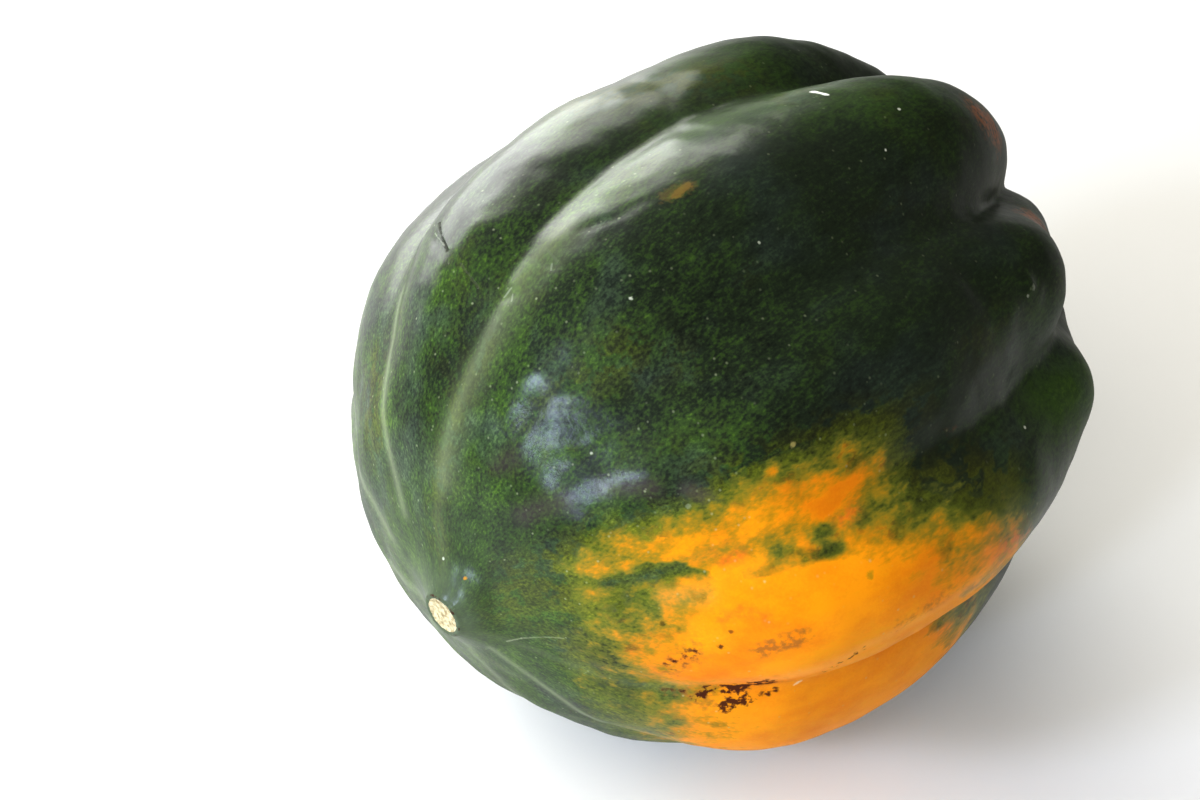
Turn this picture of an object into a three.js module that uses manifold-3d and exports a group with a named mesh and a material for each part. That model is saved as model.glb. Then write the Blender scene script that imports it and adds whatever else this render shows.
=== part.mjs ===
// Acorn squash lying on its side: one ribbed fruit with a corky blossom scar at its pointed end, and the
// dry stub of its stem in the hollow between the shoulders. Millimetres, +Z up, the stem end towards +X.
// The origin is on the ground, under the middle of the squash.
import * as THREE from "three";
import { mergeVertices } from "three/addons/utils/BufferGeometryUtils.js";
import Module from "manifold-3d";

// How it lies
const downTurn = 71; // degrees round the axis that face the ground, which is the crest of the last rib
const stemDrop = 2; // degrees that the stem end hangs below the blossom end
const flatDepth = 0.8; // how much of the lowest rib its own weight has flattened

// Fineness of the solids
const fruitRows = 44;
const facesPerRib = 10;
const stemRows = 9;
const facesPerRidge = 6;

// Crest line of a rib from the blossom scar to the floor of the stem hollow: distance from the axis, and
// distance along it
const scarRadius = 3.7;
const hollowFloor = 122;
const hollowRadius = 11;
const crestLine = [
  [0, 0],
  [2, 0],
  [scarRadius, 0.1],
  [6, 1.6],
  [10.5, 4.2],
  [18.5, 7.6],
  [32.5, 14.2],
  [52.2, 32.6],
  [59.6, 58.5],
  [59, 81],
  [53.2, 104.5],
  [40.3, 125.6],
  [29, 136],
  [20, 134.5],
  [14, 126.5],
  [hollowRadius, hollowFloor + 0.6],
  [hollowRadius - 2.5, hollowFloor],
  [0, hollowFloor],
];

// The ten ribs, each with the groove that it starts from. turn places that groove round the axis in degrees,
// and lean is how far it has drifted by the shoulder. On the body and on the shoulder in turn, body and
// shoulder are the groove's depths, soft and crease round its bottom (0 is sharp), and swell and crown are
// how far the rib stands out of the crest line.
const ribs = [
  { turn: 93, lean: 0, body: 4, shoulder: 7.5, soft: 0.12, crease: 0.12, swell: 1, crown: 0 },
  { turn: 125, lean: 0, body: 4, shoulder: 7.5, soft: 0.12, crease: 0.12, swell: 4.5, crown: 0 },
  { turn: 161, lean: -1.5, body: 4, shoulder: 7.5, soft: 0.12, crease: 0.12, swell: -1, crown: 0.7 },
  { turn: 201.5, lean: 1.5, body: 5, shoulder: 8, soft: 0.15, crease: 0.15, swell: -1.5, crown: 1 },
  { turn: 238, lean: 4.5, body: 3.7, shoulder: 9, soft: 0.06, crease: 0.06, swell: -2.3, crown: 2.4 },
  { turn: 277, lean: 11.5, body: 3.5, shoulder: 8.2, soft: 0.3, crease: 0.08, swell: -1.4, crown: -2 },
  { turn: 312.5, lean: 7.5, body: 4.2, shoulder: 5.8, soft: 0.12, crease: 0.12, swell: 5, crown: -1.4 },
  { turn: 346.5, lean: 1, body: 6.2, shoulder: 7.7, soft: 0.06, crease: 0.06, swell: 2.4, crown: -1 },
  { turn: 384, lean: 0, body: 4.3, shoulder: 7.5, soft: 0.12, crease: 0.12, swell: -1.8, crown: 0 },
  { turn: 409, lean: 0, body: 4.5, shoulder: 7.5, soft: 0.12, crease: 0.12, swell: -2, crown: 0 },
];
const lobeRoundness = 2.2; // power of the rib's cross-section: higher is flatter on top

// Where the grooves and the ribs' own heights come in and fade out, as fractions of the crest line's length
const bodyStart = [0.08, 0.45];
const bodyEnd = [0.5, 0.72];
const shoulderEnd = [0.72, 0.95];
const leanSpan = [0.3, 0.8];

// The blossom end grew a little aside of the axis: fully up to the first place along the skin, in mm, and
// not at all from the second
const tipTurn = 325;
const tipAside = 4.7;
const tipSpan = [4, 18];

// Bumps low on the shoulder: turn round the axis, fraction of the crest line, width, length, height
const bumps = [
  { turn: 303, along: 0.67, width: 12, length: 12, height: 3 },
  { turn: 325, along: 0.66, width: 12, length: 14, height: 4 },
];

// Dry stem stub. stemLine is its side from the seat to the cut: distance from its axis, distance along it
const seatGap = 0.4; // between the stub and the floor of the hollow
const stemLength = 17;
const stemLine = [
  [9.2, 0],
  [7.6, 3],
  [6.6, 8],
  [6.4, 13],
  [7, stemLength],
];
const stemRidges = 5;
const ridgeDepth = 1.5;
const stemTwist = 12; // degrees from seat to cut
const stemBend = 1.5; // sideways at the cut
const pithDip = 1; // depth of the dished cut end
const dipRing = [0.5, 0.7]; // ring inside the cut: share of its radius, share of the dip

const wasm = await Module();
wasm.setup();

const degrees = THREE.MathUtils.degToRad;
const fade = (value, [low, high]) => THREE.MathUtils.smoothstep(value, low, high);
const mergeDistance = 1e-4;

// Depth of a rib's cross-section below its crest, from 0 on the crest to 1 in the groove. across is the
// place between two grooves from 0 to 1.
function lobe(across, soft) {
  const offGroove = 1 - Math.abs(2 * across - 1);
  const rounded = (Math.hypot(offGroove, soft) - soft) / (Math.hypot(1, soft) - soft);
  return (1 - rounded) ** lobeRoundness;
}

// A rib's height above the crest line, eased into its neighbours' heights at the grooves
function ribHeight(key, index, across) {
  const ribAt = (offset) => ribs[(index + offset + ribs.length) % ribs.length][key];
  const middle = ribAt(0);
  const ease = across * across * (3 - 2 * across);
  const edge = THREE.MathUtils.lerp((ribAt(-1) + middle) / 2, (middle + ribAt(1)) / 2, ease);
  return edge + (middle - edge) * (1 - (2 * across - 1) ** 2);
}

// Turn and height above the crest line of the skin, at a fraction of a rib and of the crest line
function skinAt(index, across, along, radius, lineLength) {
  const groove = ribs[index];
  const next = ribs[(index + 1) % ribs.length];
  const ease = across * across * (3 - 2 * across);
  const drift = fade(along, leanSpan);
  const startTurn = groove.turn + groove.lean * drift;
  const endTurn = next.turn + next.lean * drift + (index + 1 === ribs.length ? 360 : 0);
  const turn = THREE.MathUtils.lerp(startTurn, endTurn, across);

  const onBody = fade(along, bodyStart) * (1 - fade(along, bodyEnd));
  const onShoulder = fade(along, bodyEnd) * (1 - fade(along, shoulderEnd));
  const mixed = (key) => THREE.MathUtils.lerp(groove[key], next[key], ease);
  const depth = onBody * mixed("body") + onShoulder * mixed("shoulder");
  let height = onBody * ribHeight("swell", index, across) + onShoulder * ribHeight("crown", index, across);
  const sharpness = THREE.MathUtils.lerp(mixed("soft"), mixed("crease"), fade(along, bodyEnd));
  height -= depth * lobe(across, sharpness);
  for (const bump of bumps) {
    const sideways = degrees(((turn - bump.turn + 540) % 360) - 180) * radius;
    const lengthways = (along - bump.along) * lineLength;
    height += bump.height * Math.exp(-((sideways / bump.width) ** 2) - (lengthways / bump.length) ** 2);
  }
  return { turn: degrees(turn), height };
}

// Points of the crest line with the outward direction and the fraction of its length at each
function walkLine(line, rows) {
  const curve = new THREE.SplineCurve(line.map(([radius, along]) => new THREE.Vector2(radius, along)));
  const points = curve.getPoints(rows);
  points[0].x = 0;
  points[rows].x = 0;
  const lengths = [0];
  for (let row = 1; row <= rows; row++) {
    lengths.push(lengths[row - 1] + points[row].distanceTo(points[row - 1]));
  }
  const total = lengths[rows];
  return points.map((point, row) => {
    const before = points[Math.max(row - 1, 0)];
    const after = points[Math.min(row + 1, rows)];
    const forward = after.clone().sub(before).normalize();
    const outward = new THREE.Vector2(forward.y, -forward.x);
    return { point, outward, along: lengths[row] / total, total };
  });
}

// Closed solid of a THREE geometry, and back
function solidOf(geometry) {
  geometry.deleteAttribute("normal");
  geometry.deleteAttribute("uv");
  const merged = mergeVertices(geometry, mergeDistance);
  const mesh = new wasm.Mesh({
    numProp: 3,
    vertProperties: merged.attributes.position.array,
    triVerts: new Uint32Array(merged.index.array),
  });
  return new wasm.Manifold(mesh);
}

function geometryOf(solid) {
  const mesh = solid.getMesh();
  const geometry = new THREE.BufferGeometry();
  geometry.setAttribute("position", new THREE.BufferAttribute(mesh.vertProperties, 3));
  geometry.setIndex(new THREE.BufferAttribute(mesh.triVerts, 1));
  geometry.computeVertexNormals();
  return geometry;
}

// The whole fruit on its own axis, +Z from the blossom scar to the stem: a lathe whose rows are pushed out
// into ribs
function makeFruitSkin() {
  const rows = walkLine(crestLine, fruitRows);
  const columns = ribs.length * facesPerRib;
  const skin = new THREE.LatheGeometry(rows.map((row) => row.point), columns);
  const position = skin.attributes.position;
  for (let column = 0; column <= columns; column++) {
    const wrapped = column % columns;
    const index = Math.floor(wrapped / facesPerRib);
    const across = (wrapped % facesPerRib) / facesPerRib;
    rows.forEach(({ point, outward, along, total }, row) => {
      const { turn, height } = skinAt(index, across, along, point.x, total);
      const onAxis = point.x === 0;
      const radius = onAxis ? 0 : point.x + outward.x * height;
      const level = onAxis ? point.y : point.y + outward.y * height;
      const aside = tipAside * (1 - fade(along * total, tipSpan));
      const x = radius * Math.cos(turn) + aside * Math.cos(degrees(tipTurn));
      const y = radius * Math.sin(turn) + aside * Math.sin(degrees(tipTurn));
      position.setXYZ(column * rows.length + row, x, y, level);
    });
  }
  return skin;
}

// The stub on its own axis, +Z from the seat to the cut: five-sided, flared at the seat, with a dished end
function makeStem() {
  const side = stemLine.map(([radius, along]) => new THREE.Vector2(radius, along));
  const points = [
    new THREE.Vector2(0, 0),
    ...new THREE.SplineCurve(side).getPoints(stemRows),
    new THREE.Vector2(side.at(-1).x * dipRing[0], stemLength - pithDip * dipRing[1]),
    new THREE.Vector2(0, stemLength - pithDip),
  ];
  const columns = stemRidges * facesPerRidge;
  const stub = new THREE.LatheGeometry(points, columns);
  const position = stub.attributes.position;
  for (let column = 0; column <= columns; column++) {
    const wrapped = column % columns;
    const ridge = 0.5 - 0.5 * Math.cos((2 * Math.PI * (wrapped % facesPerRidge)) / facesPerRidge);
    points.forEach((point, row) => {
      const rise = point.y / stemLength;
      const turn = (2 * Math.PI * wrapped) / columns + degrees(stemTwist) * rise;
      const radius = point.x * (1 - (ridgeDepth / stemLine[0][0]) * (1 - ridge));
      const x = radius * Math.cos(turn) + stemBend * rise * rise;
      position.setXYZ(column * points.length + row, x, radius * Math.sin(turn), point.y);
    });
  }
  return geometryOf(solidOf(stub));
}

// From the fruit's own axes to how it lies: the downTurn side down, its axis along +X, the stem end a
// little low
function layingMatrix() {
  const roll = new THREE.Matrix4().makeRotationZ(-degrees(downTurn + 90));
  const onSide = new THREE.Matrix4().makeBasis(
    new THREE.Vector3(0, 1, 0),
    new THREE.Vector3(0, 0, 1),
    new THREE.Vector3(1, 0, 0),
  );
  return new THREE.Matrix4().makeRotationY(degrees(stemDrop)).multiply(onSide).multiply(roll);
}

const skin = makeFruitSkin();
const laying = layingMatrix();
const lying = skin.clone().applyMatrix4(laying);
lying.computeBoundingBox();
laying.premultiply(new THREE.Matrix4().makeTranslation(0, 0, -lying.boundingBox.min.z - flatDepth));

// The ground takes a thin slice off the lowest rib, which leaves the flat spot that the squash rests on
const groundSize = 200;
const ground = new THREE.BoxGeometry(groundSize, groundSize, groundSize);
ground.translate(0, 0, -groundSize / 2);
ground.applyMatrix4(laying.clone().invert());

const fruit = new THREE.Mesh(
  geometryOf(solidOf(skin).subtract(solidOf(ground))),
  new THREE.MeshStandardMaterial({ color: 0x2c3f22, roughness: 0.35, metalness: 0 }),
);
fruit.name = "fruit";

const stem = new THREE.Mesh(
  makeStem(),
  new THREE.MeshStandardMaterial({ color: 0x8a7a55, roughness: 0.85, metalness: 0 }),
);
stem.name = "stem";
stem.position.z = hollowFloor + seatGap;

const squash = new THREE.Group();
squash.add(fruit, stem);
squash.applyMatrix4(laying);

// The origin comes to the middle of the squash's own box
const middle = new THREE.Box3().setFromObject(squash, true).getCenter(new THREE.Vector3());
squash.position.x -= middle.x;
squash.position.y -= middle.y;

export default squash;
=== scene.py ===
import math
import bpy
import numpy as np
from mathutils import Euler, Matrix, Vector, noise


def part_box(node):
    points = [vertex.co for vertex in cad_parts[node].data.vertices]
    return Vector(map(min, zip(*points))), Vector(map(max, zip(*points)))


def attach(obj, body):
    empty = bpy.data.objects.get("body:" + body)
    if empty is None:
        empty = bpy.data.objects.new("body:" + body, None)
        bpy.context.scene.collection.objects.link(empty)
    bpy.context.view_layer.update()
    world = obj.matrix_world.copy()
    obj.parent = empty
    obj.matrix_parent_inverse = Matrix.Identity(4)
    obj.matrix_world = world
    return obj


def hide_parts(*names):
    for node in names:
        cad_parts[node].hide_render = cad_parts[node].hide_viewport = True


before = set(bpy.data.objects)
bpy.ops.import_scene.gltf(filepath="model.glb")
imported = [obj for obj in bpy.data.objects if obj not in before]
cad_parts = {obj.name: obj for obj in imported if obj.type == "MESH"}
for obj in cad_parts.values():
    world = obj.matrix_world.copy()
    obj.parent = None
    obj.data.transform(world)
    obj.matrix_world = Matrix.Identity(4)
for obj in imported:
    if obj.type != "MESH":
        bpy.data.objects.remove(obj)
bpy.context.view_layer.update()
mm = 0.001  # the frame is in metres, and every size below is in millimetres

# The squash as it grew, in the same values as the solid. A rib starts at its groove: turn places the groove
# round the axis in degrees, and lean is its drift by the shoulder. On the body and on the shoulder in turn,
# body and shoulder are the groove's depths, soft and crease round its bottom, and swell and crown are how far
# the rib stands out. Spans are fractions of the crest line, and the tip's span is mm along it.
form = {
    "downTurn": 71,  # degrees round the axis that face the ground
    "stemDrop": 2,  # degrees that the stem end hangs below the blossom end
    "flatDepth": 0.8,
    "hollowFloor": 122,
    "crestLine": [
        [0, 0], [2, 0], [3.7, 0.1], [6, 1.6], [10.5, 4.2], [18.5, 7.6], [32.5, 14.2], [52.2, 32.6],
        [59.6, 58.5], [59, 81], [53.2, 104.5], [40.3, 125.6], [29, 136], [20, 134.5], [14, 126.5],
        [11, 122.6], [8.5, 122], [0, 122],
    ],
    "ribValues": ["turn", "lean", "body", "shoulder", "soft", "crease", "swell", "crown"],
    "ribs": [
        [93, 0, 4, 7.5, 0.12, 0.12, 1, 0],
        [125, 0, 4, 7.5, 0.12, 0.12, 4.5, 0],
        [161, -1.5, 4, 7.5, 0.12, 0.12, -1, 0.7],
        [201.5, 1.5, 5, 8, 0.15, 0.15, -1.5, 1],
        [238, 4.5, 3.7, 9, 0.06, 0.06, -2.3, 2.4],
        [277, 11.5, 3.5, 8.2, 0.3, 0.08, -1.4, -2],
        [312.5, 7.5, 4.2, 5.8, 0.12, 0.12, 5, -1.4],
        [346.5, 1, 6.2, 7.7, 0.06, 0.06, 2.4, -1],
        [384, 0, 4.3, 7.5, 0.12, 0.12, -1.8, 0],
        [409, 0, 4.5, 7.5, 0.12, 0.12, -2, 0],
    ],
    "lobeRoundness": 2.2,
    "bodyStart": [0.08, 0.45],
    "bodyEnd": [0.5, 0.72],
    "shoulderEnd": [0.72, 0.95],
    "leanSpan": [0.3, 0.8],
    "tipShift": {"turn": 325, "by": 4.7, "from": 4, "to": 18},
    "bumps": [
        {"turn": 303, "along": 0.67, "width": 12, "length": 12, "height": 3},
        {"turn": 325, "along": 0.66, "width": 12, "length": 14, "height": 4},
    ],
}


def linearColour(hexText):
    # sRGB hex text to the linear RGBA that a shader takes
    channels = [int(hexText[place:place + 2], 16) / 255 for place in (0, 2, 4)]
    linear = [c / 12.92 if c <= 0.04045 else ((c + 0.055) / 1.055) ** 2.4 for c in channels]
    return linear + [1]


def addNode(tree, kind, inputs=(), out=0, stops=None, **settings):
    # A node with its settings and links, which hands on one of its outputs. inputs holds the values of its
    # sockets, in order or by name: an output among them is linked, and hex text is a colour.
    node = tree.nodes.new("ShaderNode" + kind)
    for name, value in settings.items():
        setattr(node, name, value)
    if stops:
        elements = node.color_ramp.elements
        elements[0].position, elements[0].color = stops[0][0], linearColour(stops[0][1])
        elements[1].position, elements[1].color = stops[-1][0], linearColour(stops[-1][1])
        for place, colour in stops[1:-1]:
            elements.new(place).color = linearColour(colour)
    for key, value in inputs.items() if isinstance(inputs, dict) else enumerate(inputs):
        if isinstance(value, bpy.types.NodeSocket):
            tree.links.new(value, node.inputs[key])
        else:
            node.inputs[key].default_value = linearColour(value) if isinstance(value, str) else value
    return node.outputs[out] if node.outputs else None


def startMaterial(name):
    material = bpy.data.materials.new(name)
    material.use_nodes = True
    material.node_tree.nodes.clear()
    return material, material.node_tree


def smoothStep(value, low, high):
    part = np.clip((value - low) / (high - low), 0, 1)
    return part * part * (3 - 2 * part)


def turnBetween(turn, other):
    # Degrees from one place round the axis to another, the short way
    return (turn - other + 180) % 360 - 180


def splineThrough(points, count):
    # Uniform Catmull-Rom spline with its end points doubled
    points = np.array(points, float)
    place = np.linspace(0, len(points) - 1, count)
    step = np.minimum(place.astype(int), len(points) - 2)
    part = (place - step)[:, None]
    before, start = points[np.maximum(step - 1, 0)], points[step]
    end, after = points[step + 1], points[np.minimum(step + 2, len(points) - 1)]
    leave, arrive = (end - before) / 2, (after - start) / 2
    return (
        (2 * start - 2 * end + leave + arrive) * part**3
        + (3 * end - 3 * start - 2 * leave - arrive) * part**2
        + leave * part + start
    )


def walkLine(points, places):
    # Points of a spline at fractions of its length, with the outward direction there and the length in mm
    fineSteps = 6000  # short enough that they add up to the true length
    fine = splineThrough(points, fineSteps)
    steps = np.linalg.norm(np.diff(fine, axis=0), axis=1)
    lengths = np.concatenate([[0], np.cumsum(steps)])
    forward = np.gradient(fine, axis=0)
    forward /= np.linalg.norm(forward, axis=1)[:, None] + 1e-9
    at = lambda values: np.interp(places * lengths[-1], lengths, values)
    point = np.stack([at(fine[:, 0]), at(fine[:, 1])], 1)
    outward = np.stack([at(forward[:, 1]), -at(forward[:, 0])], 1)
    outward /= np.linalg.norm(outward, axis=1)[:, None]
    return point, outward, lengths[-1]


def ribValue(key, index):
    ribs = np.array(form["ribs"], float)
    return ribs[index % len(ribs), form["ribValues"].index(key)]


def ribHeight(key, rib, across):
    # A rib's own height, eased into its neighbours' heights at the grooves
    middle = ribValue(key, rib)
    ease = across * across * (3 - 2 * across)
    left, right = (ribValue(key, rib - 1) + middle) / 2, (middle + ribValue(key, rib + 1)) / 2
    edge = left + (right - left) * ease
    return edge + (middle - edge) * (1 - (2 * across - 1) ** 2)


def skinPlaces(rowPlaces, facesPerRib):
    # The ribbed skin by the solid's own formula, rows by columns: where each place is on the crest line, the
    # turn that it stands at, how far it is along the skin and its height above the crest line
    ribCount = len(form["ribs"])
    rib = np.repeat(np.arange(ribCount), facesPerRib)
    across = np.tile(np.arange(facesPerRib) / facesPerRib, ribCount)
    point, outward, length = walkLine(form["crestLine"], rowPlaces)
    along = rowPlaces[:, None]
    ease = across * across * (3 - 2 * across)
    drift = smoothStep(along, *form["leanSpan"])
    start = ribValue("turn", rib) + ribValue("lean", rib) * drift
    end = ribValue("turn", rib + 1) + ribValue("lean", rib + 1) * drift + 360 * (rib == ribCount - 1)
    turn = start + (end - start) * across

    onBody = smoothStep(along, *form["bodyStart"]) * (1 - smoothStep(along, *form["bodyEnd"]))
    onShoulder = smoothStep(along, *form["bodyEnd"]) * (1 - smoothStep(along, *form["shoulderEnd"]))
    mixed = lambda key: ribValue(key, rib) * (1 - ease) + ribValue(key, rib + 1) * ease
    offGroove = 1 - np.abs(2 * across - 1)
    fromBody = smoothStep(along, *form["bodyEnd"])
    soft = mixed("soft") * (1 - fromBody) + mixed("crease") * fromBody
    rounded = (np.hypot(offGroove, soft) - soft) / (np.hypot(1, soft) - soft)
    lobe = (1 - rounded) ** form["lobeRoundness"]
    height = onBody * ribHeight("swell", rib, across) + onShoulder * ribHeight("crown", rib, across)
    height = height - (onBody * mixed("body") + onShoulder * mixed("shoulder")) * lobe
    for bump in form["bumps"]:
        sideways = np.radians(turnBetween(turn, bump["turn"])) * point[:, :1]
        lengthways = (along - bump["along"]) * length
        away = (sideways / bump["width"])**2 + (lengthways / bump["length"])**2
        height = height + bump["height"] * np.exp(-away)
    along = along * length + 0 * turn
    return {"turn": turn, "along": along, "crest": point, "outward": outward, "height": height}


# What a thumb would feel on the rind, beyond its ribs. Places are [turn, mm along the skin from the scar].
relief = {
    "facesPerRib": 44,
    "rows": 218,
    "rowSpread": [[0, 0], [0.1, 0.033], [0.9, 0.8], [1, 1]],  # share of the rows, share of the crest line
    "waveHeight": 0.45, "waveSize": 21, "waveStart": [3, 14],
    "rippleHeight": 0.16, "rippleSize": 6.5, "rippleShift": 200,  # the shift keeps it off the waves
    "scarRadius": 3.5, "rimOut": 0.35, "rimWide": 0.5, "rimHeight": 0.22, "dipWide": 0.9, "scarDip": 0.28,
    "corkSize": 1.3, "corkHeight": 0.16, "corkEnd": [3.4, 4],
    # wide is across the ribs, long is along them, lean turns the dent in degrees
    "dents": [
        {"at": [248.6, 73], "wide": 0.9, "long": 4, "lean": -35, "depth": 0.25},
        {"at": [246, 62], "wide": 3.2, "long": 0.8, "lean": 5, "depth": 0.3},
        {"at": [251, 79], "wide": 1.2, "long": 3.5, "lean": -30, "depth": 0.18},
        {"at": [241.5, 54.5], "wide": 2.5, "long": 0.8, "lean": 20, "depth": 0.3},
        {"at": [217.5, 60], "wide": 5.5, "long": 0.5, "lean": -32, "depth": 0.4},
        {"at": [226, 53], "wide": 3.5, "long": 0.7, "lean": -50, "depth": 0.3},
        {"at": [285, 66], "wide": 6, "long": 9, "lean": 0, "depth": 0.5},
        {"at": [262, 96], "wide": 9, "long": 12, "lean": 0, "depth": -0.6},
        {"at": [296, 118], "wide": 5, "long": 3, "lean": 20, "depth": 0.6},
        {"at": [322, 104], "wide": 6, "long": 4, "lean": 0, "depth": 0.4},
        {"at": [302, 130], "wide": 1.8, "long": 1.5, "lean": 0, "depth": -0.7},
        {"at": [304.5, 132], "wide": 1.2, "long": 1.6, "lean": 30, "depth": -0.4},
        {"at": [261, 45], "wide": 6, "long": 8, "lean": 20, "depth": -0.28},
    ],
}


def dentedBy(dent, turn, along, radius):
    sideways = np.radians(turnBetween(turn, dent["at"][0])) * radius
    lengthways = along - dent["at"][1]
    lean = math.radians(dent["lean"])
    first = sideways * math.cos(lean) + lengthways * math.sin(lean)
    second = lengthways * math.cos(lean) - sideways * math.sin(lean)
    return np.exp(-(first / dent["wide"])**2 - (second / dent["long"])**2)


def noiseAt(points, size, octaves=2):
    # Smooth noise from about -1 to 1 whose waves are about size mm long
    return np.array([noise.fractal(Vector(p) / size, 0.8, 2.0, octaves) for p in points])


def layingMatrix():
    # From the fruit's own axes to how it lies: its axis along +X, the downTurn side down, the stem end low
    roll = Matrix.Rotation(-math.radians(form["downTurn"] + 90), 4, "Z")
    onSide = Matrix(((0, 0, 1, 0), (1, 0, 0, 0), (0, 1, 0, 0), (0, 0, 0, 1)))
    return Matrix.Rotation(math.radians(form["stemDrop"]), 4, "Y") @ onSide @ roll


def posed(points, matrix):
    rotation = np.array(matrix.to_3x3())
    return points @ rotation.T + np.array(matrix.translation)


def makePiece(name, points, faces, materials, slots, fields):
    mesh = bpy.data.meshes.new(name)
    mesh.from_pydata((points * mm).tolist(), [], faces)
    mesh.polygons.foreach_set("use_smooth", [True] * len(faces))
    for material in materials:
        mesh.materials.append(material)
    mesh.polygons.foreach_set("material_index", slots)
    for field, values in fields.items():
        kind, key = ("FLOAT_VECTOR", "vector") if values.ndim == 2 else ("FLOAT", "value")
        attribute = mesh.attributes.new(field, kind, "POINT")
        attribute.data.foreach_set(key, values.astype(np.float32).ravel())
    mesh.update()
    piece = bpy.data.objects.new(name, mesh)
    bpy.context.scene.collection.objects.link(piece)
    return piece


def latheFaces(rows, columns):
    # Faces between the rings of a turned shape whose first and last vertices are its two poles
    ring = lambda row, column: 1 + row * columns + column % columns
    faces = [(0, ring(0, column + 1), ring(0, column)) for column in range(columns)]
    for row in range(rows - 1):
        for column in range(columns):
            faces.append((ring(row, column), ring(row, column + 1),
                          ring(row + 1, column + 1), ring(row + 1, column)))
    last = 1 + rows * columns
    faces += [(last, ring(rows - 1, column), ring(rows - 1, column + 1)) for column in range(columns)]
    return faces


# Where the rind is coloured or marked. Places are [turn, mm along], and blur is the width in mm that a border
# fades over. The ripe patch is the orange ground spot, with its tongue up the flank of the rib above.
markings = {
    "ripePatch": [
        [302.4, 38, 4], [304, 34.5, 4], [307, 33, 4.5], [310, 37, 5], [313, 42, 7], [317, 42, 7],
        [321, 40, 7], [326, 37.5, 7], [332, 36, 7], [338, 36, 7], [344, 37.5, 7], [348, 40, 7],
        [353, 43, 8], [359, 44, 8], [365, 45, 8], [372, 47, 8], [378, 50, 7], [384, 54, 7],
        [390, 58, 7], [394, 66, 7], [395, 76, 7], [393, 87, 7], [385, 96, 6], [372, 103, 6],
        [362, 104, 6], [356, 103, 7], [350, 101, 7], [345, 99, 6], [338, 102, 4], [335, 104, 4],
        [332.2, 102.5, 4], [330, 99.5, 5], [328, 95.5, 6], [324.2, 89.5, 7], [320.6, 85, 7],
        [318, 81.5, 6], [316.4, 79.5, 5], [314.6, 79.5, 5], [313, 81.5, 5], [310.6, 84, 4],
        [307.6, 82.8, 4.5], [305, 79, 4.5], [304, 74.5, 4], [303.2, 67, 4], [302.8, 61, 3.5],
        [303, 56, 3.5], [302.4, 50, 3], [302, 45, 3],
    ],
    "leastBlur": 0.5, "ripeLimit": 2.5,
    # Strokes that add to the ripeness or take from it: the line, its half width in mm and its strength
    "ripeStrokes": [
        {"line": [[305, 28], [309.6, 35], [310.3, 42], [311, 47]], "wide": 1.3, "add": -1.2},
        {"line": [[311.8, 50], [312.4, 55], [313.2, 61]], "wide": 2.3, "add": -1.65},
        {"line": [[313.2, 62], [313.6, 65], [314, 69]], "wide": 2.4, "add": -2.0},
        {"line": [[314, 69], [314.6, 76]], "wide": 1.9, "add": -0.9},
        {"line": [[315.8, 56], [316.4, 63], [316.8, 71]], "wide": 1.1, "add": -1.6},
        {"line": [[309, 42], [310, 52], [310.4, 66]], "wide": 2.2, "add": -0.8},
        {"line": [[314.5, 38], [316.5, 41], [318, 41]], "wide": 2.2, "add": -0.6},
        {"line": [[352, 43], [357, 43], [361, 45]], "wide": 2.2, "add": -0.8},
        {"line": [[348.5, 36], [349.5, 44]], "wide": 1.6, "add": -0.8},
        {"line": [[334.4, 90], [334.8, 94], [335, 98]], "wide": 1.7, "add": -1.3},
        {"line": [[350, 88], [350.5, 94], [352, 100]], "wide": 3.5, "add": -0.5},
        {"line": [[299.7, 65], [300.1, 66]], "wide": 0.8, "add": 1.1},
        {"line": [[315, 31], [322, 30], [330, 30]], "wide": 3.5, "add": 0.35},
        {"line": [[352, 30], [360, 31], [367, 33]], "wide": 3.5, "add": 0.45},
        {"line": [[303, 29], [306, 31]], "wide": 2.0, "add": 0.5},
        {"line": [[325, 93], [327.5, 97]], "wide": 2, "add": 0.4},
    ],
}


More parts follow.
